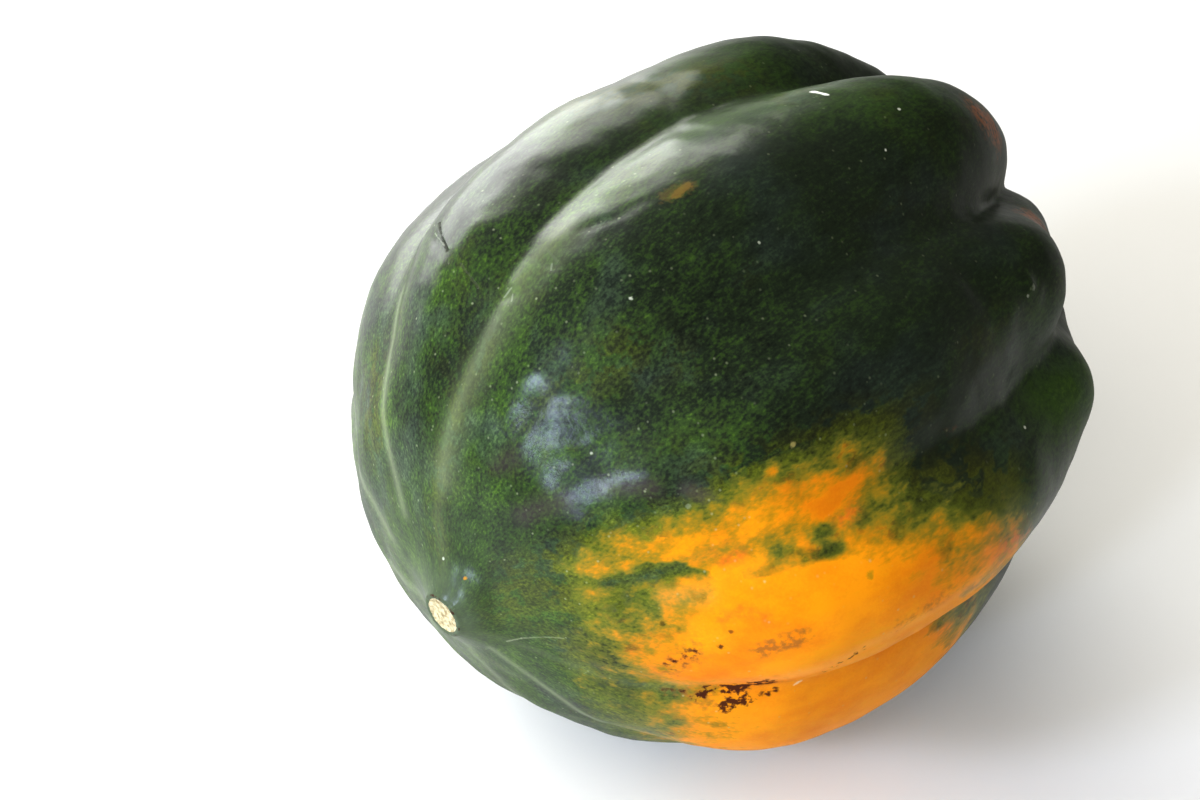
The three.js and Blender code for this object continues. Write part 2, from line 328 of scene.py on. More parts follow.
# Stains on the skin, and a cream line that partly paints a highlight, as strokes: the line, its half width in
# mm and how much of it each holds
stainsAndHighlight = {
    "grooveLine": [
        {"line": [[242.5, 7], [240.5, 20], [239.8, 30], [240.2, 42], [241.2, 56], [242.2, 72]],
         "wide": 1.4, "add": 0.13},
        {"line": [[242.6, 24], [242, 34], [242.6, 44], [243.8, 56], [245, 68]], "wide": 3.2, "add": 0.15},
        {"line": [[203.4, 16], [202.8, 26], [202.6, 38], [203, 54]], "wide": 1.2, "add": 0.33},
        {"line": [[163, 16], [161.5, 30], [161, 50]], "wide": 1.4, "add": 0.28},
        {"line": [[126, 10], [125, 26], [125, 42]], "wide": 1.4, "add": 0.28},
        {"line": [[374.5, 12], [376.5, 20], [379.5, 29], [382.5, 38]], "wide": 0.9, "add": 0.35},
        {"line": [[349, 8], [349, 20], [349, 32], [348.4, 42]], "wide": 1.0, "add": 0.12},
        {"line": [[409, 10], [409, 26], [409, 40]], "wide": 1.1, "add": 0.25},
        {"line": [[93, 10], [93, 26], [93, 44]], "wide": 1.3, "add": 0.28},
    ],
    "scab": [
        {"line": [[347.3, 51.6], [344.6, 54.6], [342.6, 57.4]], "wide": 1.6, "add": 0.88},
        {"line": [[350.8, 47], [348.6, 48], [347.4, 48.6]], "wide": 1.0, "add": 0.85},
        {"line": [[352.4, 52], [351, 53.8], [350, 55.4]], "wide": 1.6, "add": 0.8},
        {"line": [[348.6, 58.2], [347.6, 59.6]], "wide": 1.0, "add": 0.6},
        {"line": [[349.6, 41.5], [349, 44.5]], "wide": 1.0, "add": 0.4},
        {"line": [[turn, 3.75] for turn in range(0, 361, 30)], "wide": 0.32, "add": 0.43},
        {"line": [[340, 66], [337.8, 68.2], [335.6, 71.5]], "wide": 1.0, "add": 0.5},
        {"line": [[338, 42], [334.5, 43.5], [331.2, 45.8]], "wide": 1.8, "add": 0.46},
    ],
    "scuff": [
        {"line": [[351, 50], [347, 54], [343, 58]], "wide": 4.0, "add": 0.4},
        {"line": [[350, 42], [350, 46]], "wide": 2.5, "add": 0.3},
        {"line": [[339, 42], [335.5, 43.5], [331.5, 46]], "wide": 2.6, "add": 0.6},
        {"line": [[330.6, 56], [329, 59], [328.4, 61.5]], "wide": 1.9, "add": 0.75},
        {"line": [[333, 77], [332, 82], [331.5, 86]], "wide": 2.2, "add": 0.35},
    ],
    "redden": [
        {"line": [[322.6, 50.6], [321.6, 53.4], [323.4, 57.2]], "wide": 1.1, "add": 0.3},
        {"line": [[312.6, 53.5], [312, 56]], "wide": 1.2, "add": 0.35},
        {"line": [[313.4, 73], [313.2, 76]], "wide": 1.3, "add": 0.28},
        {"line": [[331, 98], [332.6, 106]], "wide": 2.5, "add": 0.3},
    ],
    "purple": [
        {"line": [[279, 28], [284, 35.5]], "wide": 2.0, "add": 0.4},
        {"line": [[286.5, 42], [290, 46], [292, 48.5]], "wide": 1.7, "add": 0.45},
        {"line": [[296, 53], [300, 55.5]], "wide": 1.4, "add": 0.5},
        {"line": [[262, 31], [265, 34]], "wide": 2.0, "add": 0.3},
    ],
    "rust": [
        {"line": [[271, 153], [274.3, 158]], "wide": 3.5, "add": 0.9},
        {"line": [[297, 154], [298.5, 161]], "wide": 2.8, "add": 0.75},
        {"line": [[311.8, 98], [312.2, 100]], "wide": 1.0, "add": 0.15},
    ],
    "moss": [
        {"line": [[315, 84], [318, 96], [322, 104]], "wide": 5, "add": 0.7},
        {"line": [[222, 96], [229, 108], [234, 120]], "wide": 6, "add": 0.5},
        {"line": [[297, 20], [300, 32], [302, 44]], "wide": 3.5, "add": 0.5},
        {"line": [[318, 10], [330, 20], [338, 27]], "wide": 3, "add": 0.35},
        {"line": [[311, 17], [314, 26], [316, 34]], "wide": 3.2, "add": 0.6},
        {"line": [[190, 30], [194, 42]], "wide": 5, "add": 0.5},
        {"line": [[239, 12], [240, 26], [242, 46]], "wide": 2.5, "add": 0.5},
        {"line": [[262, 40], [268, 54], [276, 64]], "wide": 4, "add": 0.3},
        {"line": [[299, 60], [301, 75], [305, 95]], "wide": 4, "add": 0.45},
        {"line": [[340, 115], [360, 112]], "wide": 4, "add": 0.4},
    ],
    # Cream along the edge of the lower ribs' groove, partly cream and partly a painted highlight where the
    # rib's edge catches the light
    "creamAndHighlight": [
        {"line": [[347, 42], [341, 56], [335, 72], [332.5, 96], [333, 108]], "wide": 1.2, "add": 0.13},
        {"line": [[316.3, 43], [317.6, 49]], "wide": 1.8, "add": 0.09},
    ],
}

# Strokes where the green is a paler or darker tone, held the same way. Several pale ones paint the window's
# sheen and a grey reflection into the green, as marked below.
paleToneAndSheenStrokes = [
    {"line": [[331, 29], [337, 33]], "wide": 4.5, "add": -0.18},
    {"line": [[318, 17], [326, 29]], "wide": 5, "add": 0.04},
    {"line": [[234, 32], [236, 46]], "wide": 5, "add": -0.08},
    # Painted reflection: a greyish sheen on the right rib's shoulder
    {"line": [[326, 108], [328, 140]], "wide": 10, "add": 0.12},
    {"line": [[268, 46], [275, 54]], "wide": 7, "add": -0.09},
    {"line": [[281, 12], [284, 23]], "wide": 6, "add": -0.1},
    {"line": [[236, 14], [236, 26]], "wide": 5, "add": -0.06},
    # Painted sheen on the two upper ribs' shoulders, partly their paler olive
    {"line": [[243, 78], [246, 100], [250, 126]], "wide": 8, "add": 0.2},
    {"line": [[222, 92], [229, 112], [234, 128]], "wide": 9, "add": 0.16},
    # Painted reflection: grey sheen along the right rims of the shoulder
    {"line": [[322, 122], [326, 136]], "wide": 6, "add": 0.16},
    {"line": [[304, 122], [312, 134]], "wide": 7, "add": 0.1},
    {"line": [[262, 128], [262, 140]], "wide": 8, "add": 0.12},
]

# Small single marks: from one place to another or a dot, with half the width in mm. A deep one is a crack.
# Some pale ones are painted glints, marked below.
singleMarks = [
    {"from": [263.2, 64.9], "wide": 0.38, "colour": "d3d8c4", "strength": 0.7},
    {"from": [254, 82.8], "to": [254.6, 86.2], "wide": 1.7, "colour": "8f7338", "strength": 0.2},
    {"from": [254.2, 84], "to": [254.4, 86], "wide": 0.9, "colour": "a07c34", "strength": 0.3},
    {"from": [302.5, 129.8], "wide": 0.7, "colour": "8d9382", "strength": 0.6},
    {"from": [303.2, 128.4], "wide": 0.45, "colour": "b0b5a4", "strength": 0.7},
    {"from": [269.6, 87], "wide": 0.3, "colour": "d5dbc3", "strength": 0.5},
    {"from": [279, 43.1], "wide": 0.3, "colour": "d5dbc3", "strength": 0.5},
    {"from": [241.9, 10], "wide": 0.3, "colour": "d5dbc3", "strength": 0.7},
    {"from": [298.4, 70.5], "wide": 0.6, "colour": "cdbe76", "strength": 0.4},
    {"from": [263.9, 130.4], "wide": 0.35, "colour": "e3e7d5", "strength": 0.7},
    {"from": [268.8, 120.8], "wide": 0.35, "colour": "e3e7d5", "strength": 0.7},
    {"from": [320.4, 114.8], "wide": 0.35, "colour": "e3e7d5", "strength": 0.7},
    {"from": [274.1, 9.6], "wide": 0.35, "colour": "d69626", "strength": 0.7},
    {"from": [298.6, 52.1], "wide": 0.5, "colour": "99a585", "strength": 0.4},
    {"from": [250.3, 123.3], "to": [253.0, 124.0], "wide": 0.6, "colour": "f0f2e9", "strength": 1.0},
    {"from": [347.4, 63.1], "to": [346.9, 63.8], "wide": 0.42, "colour": "f7deb8", "strength": 0.7},
    {"from": [321.7, 73.7], "wide": 0.8, "colour": "8a801a", "strength": 0.55},
    # A scratch near the tip, painted as a pale highlight line
    {"from": [350.8, 14.2], "to": [342.4, 17.5], "wide": 0.22, "colour": "b4bc98", "strength": 0.35},
    {"from": [342.4, 17.5], "to": [333.6, 24.7], "wide": 0.22, "colour": "b4bc98", "strength": 0.25},
    {"from": [214.5, 63.7], "to": [222.1, 58.8], "wide": 0.45, "colour": "2b2d22", "strength": 0.9,
     "deep": True},
    {"from": [227.2, 56.2], "to": [232.7, 53.6], "wide": 0.3, "colour": "474938", "strength": 0.45,
     "deep": True},
    # Pale edge of the crack: partly torn wax, partly a painted glint
    {"from": [214.9, 62.6], "to": [220.4, 59], "wide": 0.22, "colour": "b4baa6", "strength": 0.35},
    {"from": [222.6, 58.6], "to": [226.4, 59.2], "wide": 0.25, "colour": "3b3d30", "strength": 0.5},
    {"from": [243.7, 63.7], "to": [246.8, 63.1], "wide": 0.3, "colour": "59604c", "strength": 0.5},
    # Pale touches by the scuffs in the sheen: painted glints
    {"from": [246.2, 61.9], "to": [247.2, 61.3], "wide": 0.22, "colour": "99a18c", "strength": 0.3},
    {"from": [240.2, 54.2], "to": [240.9, 55.8], "wide": 0.22, "colour": "a5ac98", "strength": 0.35},
    {"from": [241.8, 54.9], "to": [242.2, 53.6], "wide": 0.22, "colour": "a5ac98", "strength": 0.3},
    {"from": [248, 70.5], "to": [249.3, 73.1], "wide": 0.3, "colour": "3f4534", "strength": 0.5},
    {"from": [249.3, 73.1], "to": [249.5, 75.6], "wide": 0.25, "colour": "3f4534", "strength": 0.4},
    {"from": [329.8, 49.6], "wide": 0.6, "colour": "472718", "strength": 0.9},
    {"from": [325.8, 51.6], "wide": 0.5, "colour": "683f1a", "strength": 0.8},
    {"from": [331, 45.7], "wide": 0.6, "colour": "58341d", "strength": 0.8},
    {"from": [323.4, 41.3], "wide": 0.6, "colour": "584718", "strength": 0.8},
]


def nearestOn(line, turn, along, radius, closed=False):
    # Distance in mm from each place on the skin to a line, and the line's own width values there
    degreeLength = np.radians(radius)
    best = np.full(turn.shape, 1e6)
    width = np.zeros(turn.shape)
    ends = line[1:] + line[:1] if closed else line[1:]
    for start, end in zip(line, ends):
        x0, y0 = -turnBetween(turn, start[0]) * degreeLength, start[1] - along
        dx, dy = (end[0] - start[0]) * degreeLength, end[1] - start[1]
        part = np.clip(-(x0 * dx + y0 * dy) / (dx * dx + dy * dy + 1e-9), 0, 1)
        distance = np.hypot(x0 + dx * part, y0 + dy * part)
        closer = distance < best
        best[closer] = distance[closer]
        if len(start) > 2:
            width[closer] = (start[2] + (end[2] - start[2]) * part)[closer]
    return best, width


def insideOf(outline, turn, along):
    # Whether each place is inside a closed outline, by counting the sides that it crosses
    middle = sum(corner[0] for corner in outline) / len(outline)
    placed = turnBetween(turn, middle) + middle
    inside = np.zeros(turn.shape, bool)
    for start, end in zip(outline, outline[1:] + outline[:1]):
        if start[1] != end[1]:
            crosses = (start[1] > along) != (end[1] > along)
            crosses &= placed < (end[0] - start[0]) * (along - start[1]) / (end[1] - start[1]) + start[0]
            inside ^= crosses
    return inside


def ripenessField(turn, along, radius):
    # About 1 inside the ripe patch past its blurred border, about -1 outside it
    distance, blur = nearestOn(markings["ripePatch"], turn, along, radius, closed=True)
    signed = np.where(insideOf(markings["ripePatch"], turn, along), distance, -distance)
    ripe = signed / np.maximum(blur, markings["leastBlur"])
    ripe = np.clip(ripe, -markings["ripeLimit"], markings["ripeLimit"])
    for stroke in markings["ripeStrokes"]:
        distance, unused = nearestOn(stroke["line"], turn, along, radius)
        ripe += stroke["add"] * np.exp(-(distance / stroke["wide"])**2)
    return ripe


def summed(tree, start, weights, patterns):
    # A base value with each named pattern's departure from its own middle added, times its weight
    for name, weight in weights.items():
        centred = addNode(tree, "Math", [patterns[name], 0.5], operation="SUBTRACT")
        start = addNode(tree, "Math", [centred, weight, start], operation="MULTIPLY_ADD")
    return start


def strokeField(strokes, turn, along, radius):
    field = np.zeros(turn.shape)
    for stroke in strokes:
        distance, unused = nearestOn(stroke["line"], turn, along, radius)
        field += stroke["add"] * np.exp(-(distance / stroke["wide"])**2)
    return field


# Grown rind under its own wax: hard and glossy, so the green is deep and a window shows in it with soft
# edges. Sizes are mm on the real skin. Spans are a value's start and end, then what it turns into there.
rindLook = {
    # Each ramp runs from its darkest tone to its palest
    "green": [[0, "11170f"], [0.25, "222d1b"], [0.5, "38501f"], [0.75, "557425"], [1, "8c9b41"]],
    "greyGreen": [[0, "181b18"], [0.25, "28322b"], [0.5, "404d41"], [0.75, "5a6b5a"], [1, "8c9b85"]],
    "olive": [[0.0, "1e1f10"], [0.25, "353914"], [0.5, "555d19"], [0.75, "7a8020"], [1.0, "ada742"]],
    "ripe": [[0.12, "546324"], [0.32, "747424"], [0.5, "9d811f"], [0.66, "ca8d16"], [0.86, "f69e12"]],
    "honey": "e4a518", "deepOrange": "e37a0d", "creamAndHighlight": "f5c58d", "red": "e46526",
    "paleGroove": "a3af87", "bloom": "5c6653", "purple": "554849", "rust": "874b1a",
    "scab": "451e18", "scuff": "a5682a", "speck": "cad5a7",
    # Each pattern's size, its detail, the place that it goes by, and a shift that keeps it off the others
    "patterns": {
        "mottle": [7.5, 2, "streaky", 0], "blotch": [2.6, 3, "streaky", 40], "fleck": [0.6, 2, "dashed", 80],
        "veil": [12, 3, "streaky", 120], "moss": [15, 2, "streaky", 200], "island": [4.2, 4, "streaky", 280],
        "grain": [0.45, 2, "axis", 320], "crumb": [1.1, 3, "axis", 360], "pores": [0.7, 3, "axis", 160],
    },
    "drawnOut": {"streaky": 0.6, "dashed": 0.4},  # under 1 draws a pattern out along the fruit
    "patternRoughness": 0.55,
    # How much of each pattern goes into the green's tones, the ripe border, the flaking and so on
    "toneParts": {"mottle": 0.55, "blotch": 0.35, "fleck": 0.85, "grain": 0.5},
    "borderParts": {"mottle": 2.1, "blotch": 2.8, "fleck": 1.4},
    "flakeParts": {"crumb": 5.5, "blotch": 1.5},
    "spotParts": {"fleck": 0.3}, "islandParts": {"fleck": 0.4},
    "waxParts": {"blotch": 0.5}, "roughParts": {"blotch": 0.25}, "heightParts": {"pores": 1, "blotch": 1.5},
    "spotSpan": [0.5, 0.61, 0, 1], "spotsDarken": [-2.5, -1, 0, 0.22], "spotsStayGreen": 0.9,
    "greying": [0.5, 0.34, 0, 0.6], "oliveNearRipe": [-2.3, -0.6, 0, 0.8], "oliveMoss": [0.5, 0.72, 0, 0.35],
    "border": [-1.6, 1.6, 0, 1], "fullyRipe": [0.45, 0.9, 0, 1], "ripeOverGreen": [0.12, 0.4, 0, 1],
    "ripeDrift": {
        "honey": ["moss", [0.55, 0.35, 0, 0.35], {"fleck": 0.7}],
        "deepOrange": ["veil", [0.4, 0.7, 0, 0.6], {"blotch": 0.8, "grain": 0.6}],
    },
    "islandSpan": [0.54, 0.64, 0, 0.75], "islandsEnd": [0.85, 0.5, 0, 1],
    "flaked": {"rust": [0.1, 1, 0, 0.9], "scuff": [0.25, 0.9, 0, 0.8], "scab": [0.38, 0.74, 0, 0.94]},
    "speckSpacing": 1.9, "speckShare": [0.55, 0.95, 0, 0.28], "speckEdge": [0.17, 0.06, 0, 1],
    "markCore": 0.45, "markRagged": 1.6,  # shares of a mark's half width
    "wax": 0.48, "waxRoughness": 0.24, "roughness": 0.5, "scabRougher": 0.4, "specular": 0.06,
    "poreHeight": 0.035, "poreStrength": 0.4, "dimpleHeight": 0.04, "markDepth": 0.2,
    "dimples": [3.4, 3, "skin", 240],
}


def waxedRind(marks):
    look = rindLook
    material, tree = startMaterial("squash_rind_grown_waxy")
    field = {name: addNode(tree, "Attribute", out="Fac", attribute_name=name)
             for name in ("ripe", "bloom", "shade", "broken", "gloss", *stainsAndHighlight)}
    places = {name: addNode(tree, "Attribute", out="Vector", attribute_name=name + "Place")
              for name in ("skin", "axis")}
    for name, drawn in look["drawnOut"].items():
        places[name] = addNode(tree, "Mapping", {"Vector": places["skin"], "Scale": (1, 1, drawn)})

    def drawPattern(size, detail, place, shift):
        moved = addNode(tree, "VectorMath", [places[place], [shift] * 3])
        return addNode(tree, "TexNoise", {
            "Vector": moved, "Scale": 1 / size, "Detail": detail, "Roughness": look["patternRoughness"]})

    patterns = {name: drawPattern(*values) for name, values in look["patterns"].items()}
    torn = summed(tree, 1.0, look["flakeParts"], patterns)

    # Green: one tone broken up at four sizes, its hue drifting to grey-green and to olive
    tone = summed(tree, 0.0, look["toneParts"], patterns)
    tone = addNode(tree, "Math", [tone, field["broken"]], operation="MULTIPLY")
    tone = addNode(tree, "Math", [tone, field["shade"]])
    spots = summed(tree, patterns["blotch"], look["spotParts"], patterns)
    spots = addNode(tree, "MapRange", [spots, *look["spotSpan"]])
    darker = addNode(tree, "MapRange", [field["ripe"], *look["spotsDarken"]])
    darker = addNode(tree, "Math", [spots, darker], operation="MULTIPLY")
    tone = addNode(tree, "Math", [tone, darker], operation="SUBTRACT")
    greying = addNode(tree, "MapRange", [patterns["veil"], *look["greying"]])
    green = addNode(tree, "ValToRGB", [tone], stops=look["green"])
    grey = addNode(tree, "ValToRGB", [tone], stops=look["greyGreen"])
    green = addNode(tree, "Mix", {0: greying, 6: green, 7: grey}, 2, data_type="RGBA")
    nearRipe = addNode(tree, "MapRange", [field["ripe"], *look["oliveNearRipe"]])
    mossy = addNode(tree, "MapRange", [patterns["moss"], *look["oliveMoss"]])
    yellowing = addNode(tree, "Math", [nearRipe, mossy])
    yellowing = addNode(tree, "Math", [yellowing, field["moss"]])
    yellowing = addNode(tree, "Math", [yellowing, 1.0], operation="MINIMUM")
    staying = addNode(tree, "Math", [spots, look["spotsStayGreen"]], operation="MULTIPLY")
    yellowing = addNode(tree, "Math", [yellowing, staying], operation="SUBTRACT")
    olive = addNode(tree, "ValToRGB", [tone], stops=look["olive"])
    green = addNode(tree, "Mix", {0: yellowing, 6: green, 7: olive}, 2, data_type="RGBA")
    for name, over in (("purple", "purple"), ("grooveLine", "paleGroove"), ("bloom", "bloom")):
        green = addNode(tree, "Mix", {0: field[name], 6: green, 7: look[over]}, 2, data_type="RGBA")

    def flakedOver(under, name):
        # A stain that breaks up into flakes at its edges, and how much of it there is
        part = addNode(tree, "Math", [torn, field[name]], operation="MULTIPLY")
        part = addNode(tree, "MapRange", [part, *look["flaked"][name]])
        return addNode(tree, "Mix", {0: part, 6: under, 7: look[name]}, 2, data_type="RGBA"), part

    green = flakedOver(green, "rust")[0]

    # Ripe orange washes out through ochre and olive, and green islands stay behind in the wash
    ragged = summed(tree, field["ripe"], look["borderParts"], patterns)
    warm = addNode(tree, "MapRange", [ragged, *look["border"]])
    ripe = addNode(tree, "ValToRGB", [warm], stops=look["ripe"])
    full = addNode(tree, "MapRange", [warm, *look["fullyRipe"]])
    for name, (pattern, span, weights) in look["ripeDrift"].items():
        drift = addNode(tree, "MapRange", [patterns[pattern], *span])
        drift = summed(tree, drift, weights, patterns)
        drift = addNode(tree, "Math", [drift, full], operation="MULTIPLY")
        ripe = addNode(tree, "Mix", {0: drift, 6: ripe, 7: look[name]}, 2, data_type="RGBA")
    reddened = addNode(tree, "Math", [torn, field["redden"]], operation="MULTIPLY")
    # The reddening, then the cream that partly paints a highlight along a rib's edge
    for part, name in ((reddened, "red"), (field["creamAndHighlight"], "creamAndHighlight")):
        ripe = addNode(tree, "Mix", {0: part, 6: ripe, 7: look[name]}, 2, data_type="RGBA")
    ripened = addNode(tree, "MapRange", [warm, *look["ripeOverGreen"]])
    colour = addNode(tree, "Mix", {0: ripened, 6: green, 7: ripe}, 2, data_type="RGBA")
    stays = summed(tree, patterns["island"], look["islandParts"], patterns)
    stays = addNode(tree, "MapRange", [stays, *look["islandSpan"]])
    inBorder = addNode(tree, "MapRange", [warm, *look["islandsEnd"]])
    stays = addNode(tree, "Math", [stays, inBorder], operation="MULTIPLY")
    colour = addNode(tree, "Mix", {0: stays, 6: colour, 7: green}, 2, data_type="RGBA")
    colour = flakedOver(colour, "scuff")[0]
    colour, scabbed = flakedOver(colour, "scab")

    # Pin-prick specks, then the single marks
    cells = addNode(tree, "TexVoronoi", {"Vector": places["skin"], "Scale": 1 / look["speckSpacing"]})
    lot = addNode(tree, "SeparateColor", [cells.node.outputs["Color"]])
    picked = addNode(tree, "MapRange", [lot, *look["speckShare"]])
    picked = addNode(tree, "Math", [picked, field["broken"]], operation="MULTIPLY")
    specks = addNode(tree, "MapRange", [cells, *look["speckEdge"]])
    specks = addNode(tree, "Math", [specks, picked], operation="MULTIPLY")
    colour = addNode(tree, "Mix", {0: specks, 6: colour, 7: look["speck"]}, 2, data_type="RGBA")
    dull, crack = 0.0, 0.0
    for mark in marks:
        away = addNode(tree, "VectorMath", [places["axis"], mark["from"]], operation="SUBTRACT")
        reach = Vector(mark["to"]) - Vector(mark["from"])
        if reach.length > 0:
            unit = reach / reach.length_squared
            share = addNode(tree, "VectorMath", [away, unit], "Value", operation="DOT_PRODUCT")
            share = addNode(tree, "MapRange", [share, 0, 1, 0, 1])
            nearest = addNode(tree, "VectorMath", {0: reach, "Scale": share}, operation="SCALE")
            away = addNode(tree, "VectorMath", [away, nearest], operation="SUBTRACT")
        distance = addNode(tree, "VectorMath", [away], "Value", operation="LENGTH")
        distance = summed(tree, distance, {"pores": mark["wide"] * look["markRagged"]}, patterns)
        core = mark["wide"] * look["markCore"]
        part = addNode(tree, "MapRange", [distance, mark["wide"], core, 0, mark["strength"]])
        colour = addNode(tree, "Mix", {0: part, 6: colour, 7: mark["colour"]}, 2, data_type="RGBA")
        dull = addNode(tree, "Math", [dull, part], operation="MAXIMUM")
        if mark.get("deep"):
            crack = addNode(tree, "Math", [crack, part], operation="MAXIMUM")

    cracked = addNode(tree, "Bump", {
        "Height": crack, "Strength": 1.0, "Distance": look["markDepth"] * mm}, invert=True)
    dimples = drawPattern(*look["dimples"])
    dimpled = addNode(tree, "Bump", {
        "Height": dimples, "Strength": 1.0, "Distance": look["dimpleHeight"] * mm, "Normal": cracked})
    height = summed(tree, scabbed, look["heightParts"], patterns)
    bump = addNode(tree, "Bump", {
        "Height": height, "Strength": look["poreStrength"], "Distance": look["poreHeight"] * mm,
        "Normal": dimpled})
    wax = summed(tree, field["gloss"], look["waxParts"], patterns)
    sound = addNode(tree, "MapRange", [scabbed, 1, 0, 0, look["wax"]])
    wax = addNode(tree, "Math", [wax, sound], operation="MULTIPLY")
    unmarked = addNode(tree, "MapRange", [dull, 1, 0, 0, 1])
    wax = addNode(tree, "Math", [wax, unmarked], operation="MULTIPLY")
    rough = addNode(tree, "MapRange", [scabbed, 0, 1, 0, look["scabRougher"]])
    rough = summed(tree, rough, look["roughParts"], patterns)
    rough = addNode(tree, "Math", [rough, look["roughness"]])
    shader = addNode(tree, "BsdfPrincipled", {
        "Base Color": colour, "Roughness": rough, "IOR": 1.45, "Specular IOR Level": look["specular"],
        "Coat Weight": wax, "Coat Roughness": look["waxRoughness"], "Coat IOR": 1.5,
        "Normal": bump, "Coat Normal": bump})
    addNode(tree, "OutputMaterial", {"Surface": shader})
    return material


# Cork that closed over the fallen flower: dry, matt and tan, so it stands out pale against the waxed rind
def scarCork():
    look = {
        "cork": "ddd2ab", "darkCork": "998760", "fleck": "584b34", "roughness": 0.85,
        "grainSize": 0.9, "grainHeight": 0.12, "fleckSize": 0.55, "fleckEdge": [0.2, 0.1, 0, 0.7],
    }
    material, tree = startMaterial("blossom_scar_cork_dried")
    place = addNode(tree, "Attribute", out="Vector", attribute_name="axisPlace")
    grain = addNode(tree, "TexNoise", {"Vector": place, "Scale": 1 / look["grainSize"], "Detail": 4})
    tone = addNode(tree, "ValToRGB", [grain], stops=[(0.35, look["darkCork"]), (0.62, look["cork"])])
    flecks = addNode(tree, "TexVoronoi", {"Vector": place, "Scale": 1 / look["fleckSize"]})
    part = addNode(tree, "MapRange", [flecks, *look["fleckEdge"]])
    colour = addNode(tree, "Mix", {0: part, 6: tone, 7: look["fleck"]}, 2, data_type="RGBA")
    bump = addNode(tree, "Bump", {"Height": grain, "Strength": 0.6, "Distance": look["grainHeight"] * mm})
    shader = addNode(tree, "BsdfPrincipled", {
        "Base Color": colour, "Roughness": look["roughness"], "IOR": 1.45, "Normal": bump})
    addNode(tree, "OutputMaterial", {"Surface": shader})
    return material


# How looks change over the skin: a span's start and end, then its change. Places are mm along from the scar,
# and over the table for glossUp. Patch spans go by ripeness.
zones = {
    "patternRadius": [0.75, 14.5], "leastRadius": 4,
    "bloom": [[3, 12, 0.45], [10, 34, 0.28]],
    "shade": 0.51, "shadeTip": [14, 34, -0.1], "shadeBody": [40, 86, -0.18], "shadePatch": [-2.4, -0.5, 0.2],
    "brokenBody": [62, 100, -0.55],
    "glossTip": 0.6, "glossBody": [28, 58, 0.4], "glossStemEnd": [108, 142, -0.85],
    "glossPatch": [-0.5, 1.2, -0.82], "glossLow": 0.4, "glossUp": [15, 50, 0.6],
}


def changed(values, span):
    return span[2] * smoothStep(values, span[0], span[1])


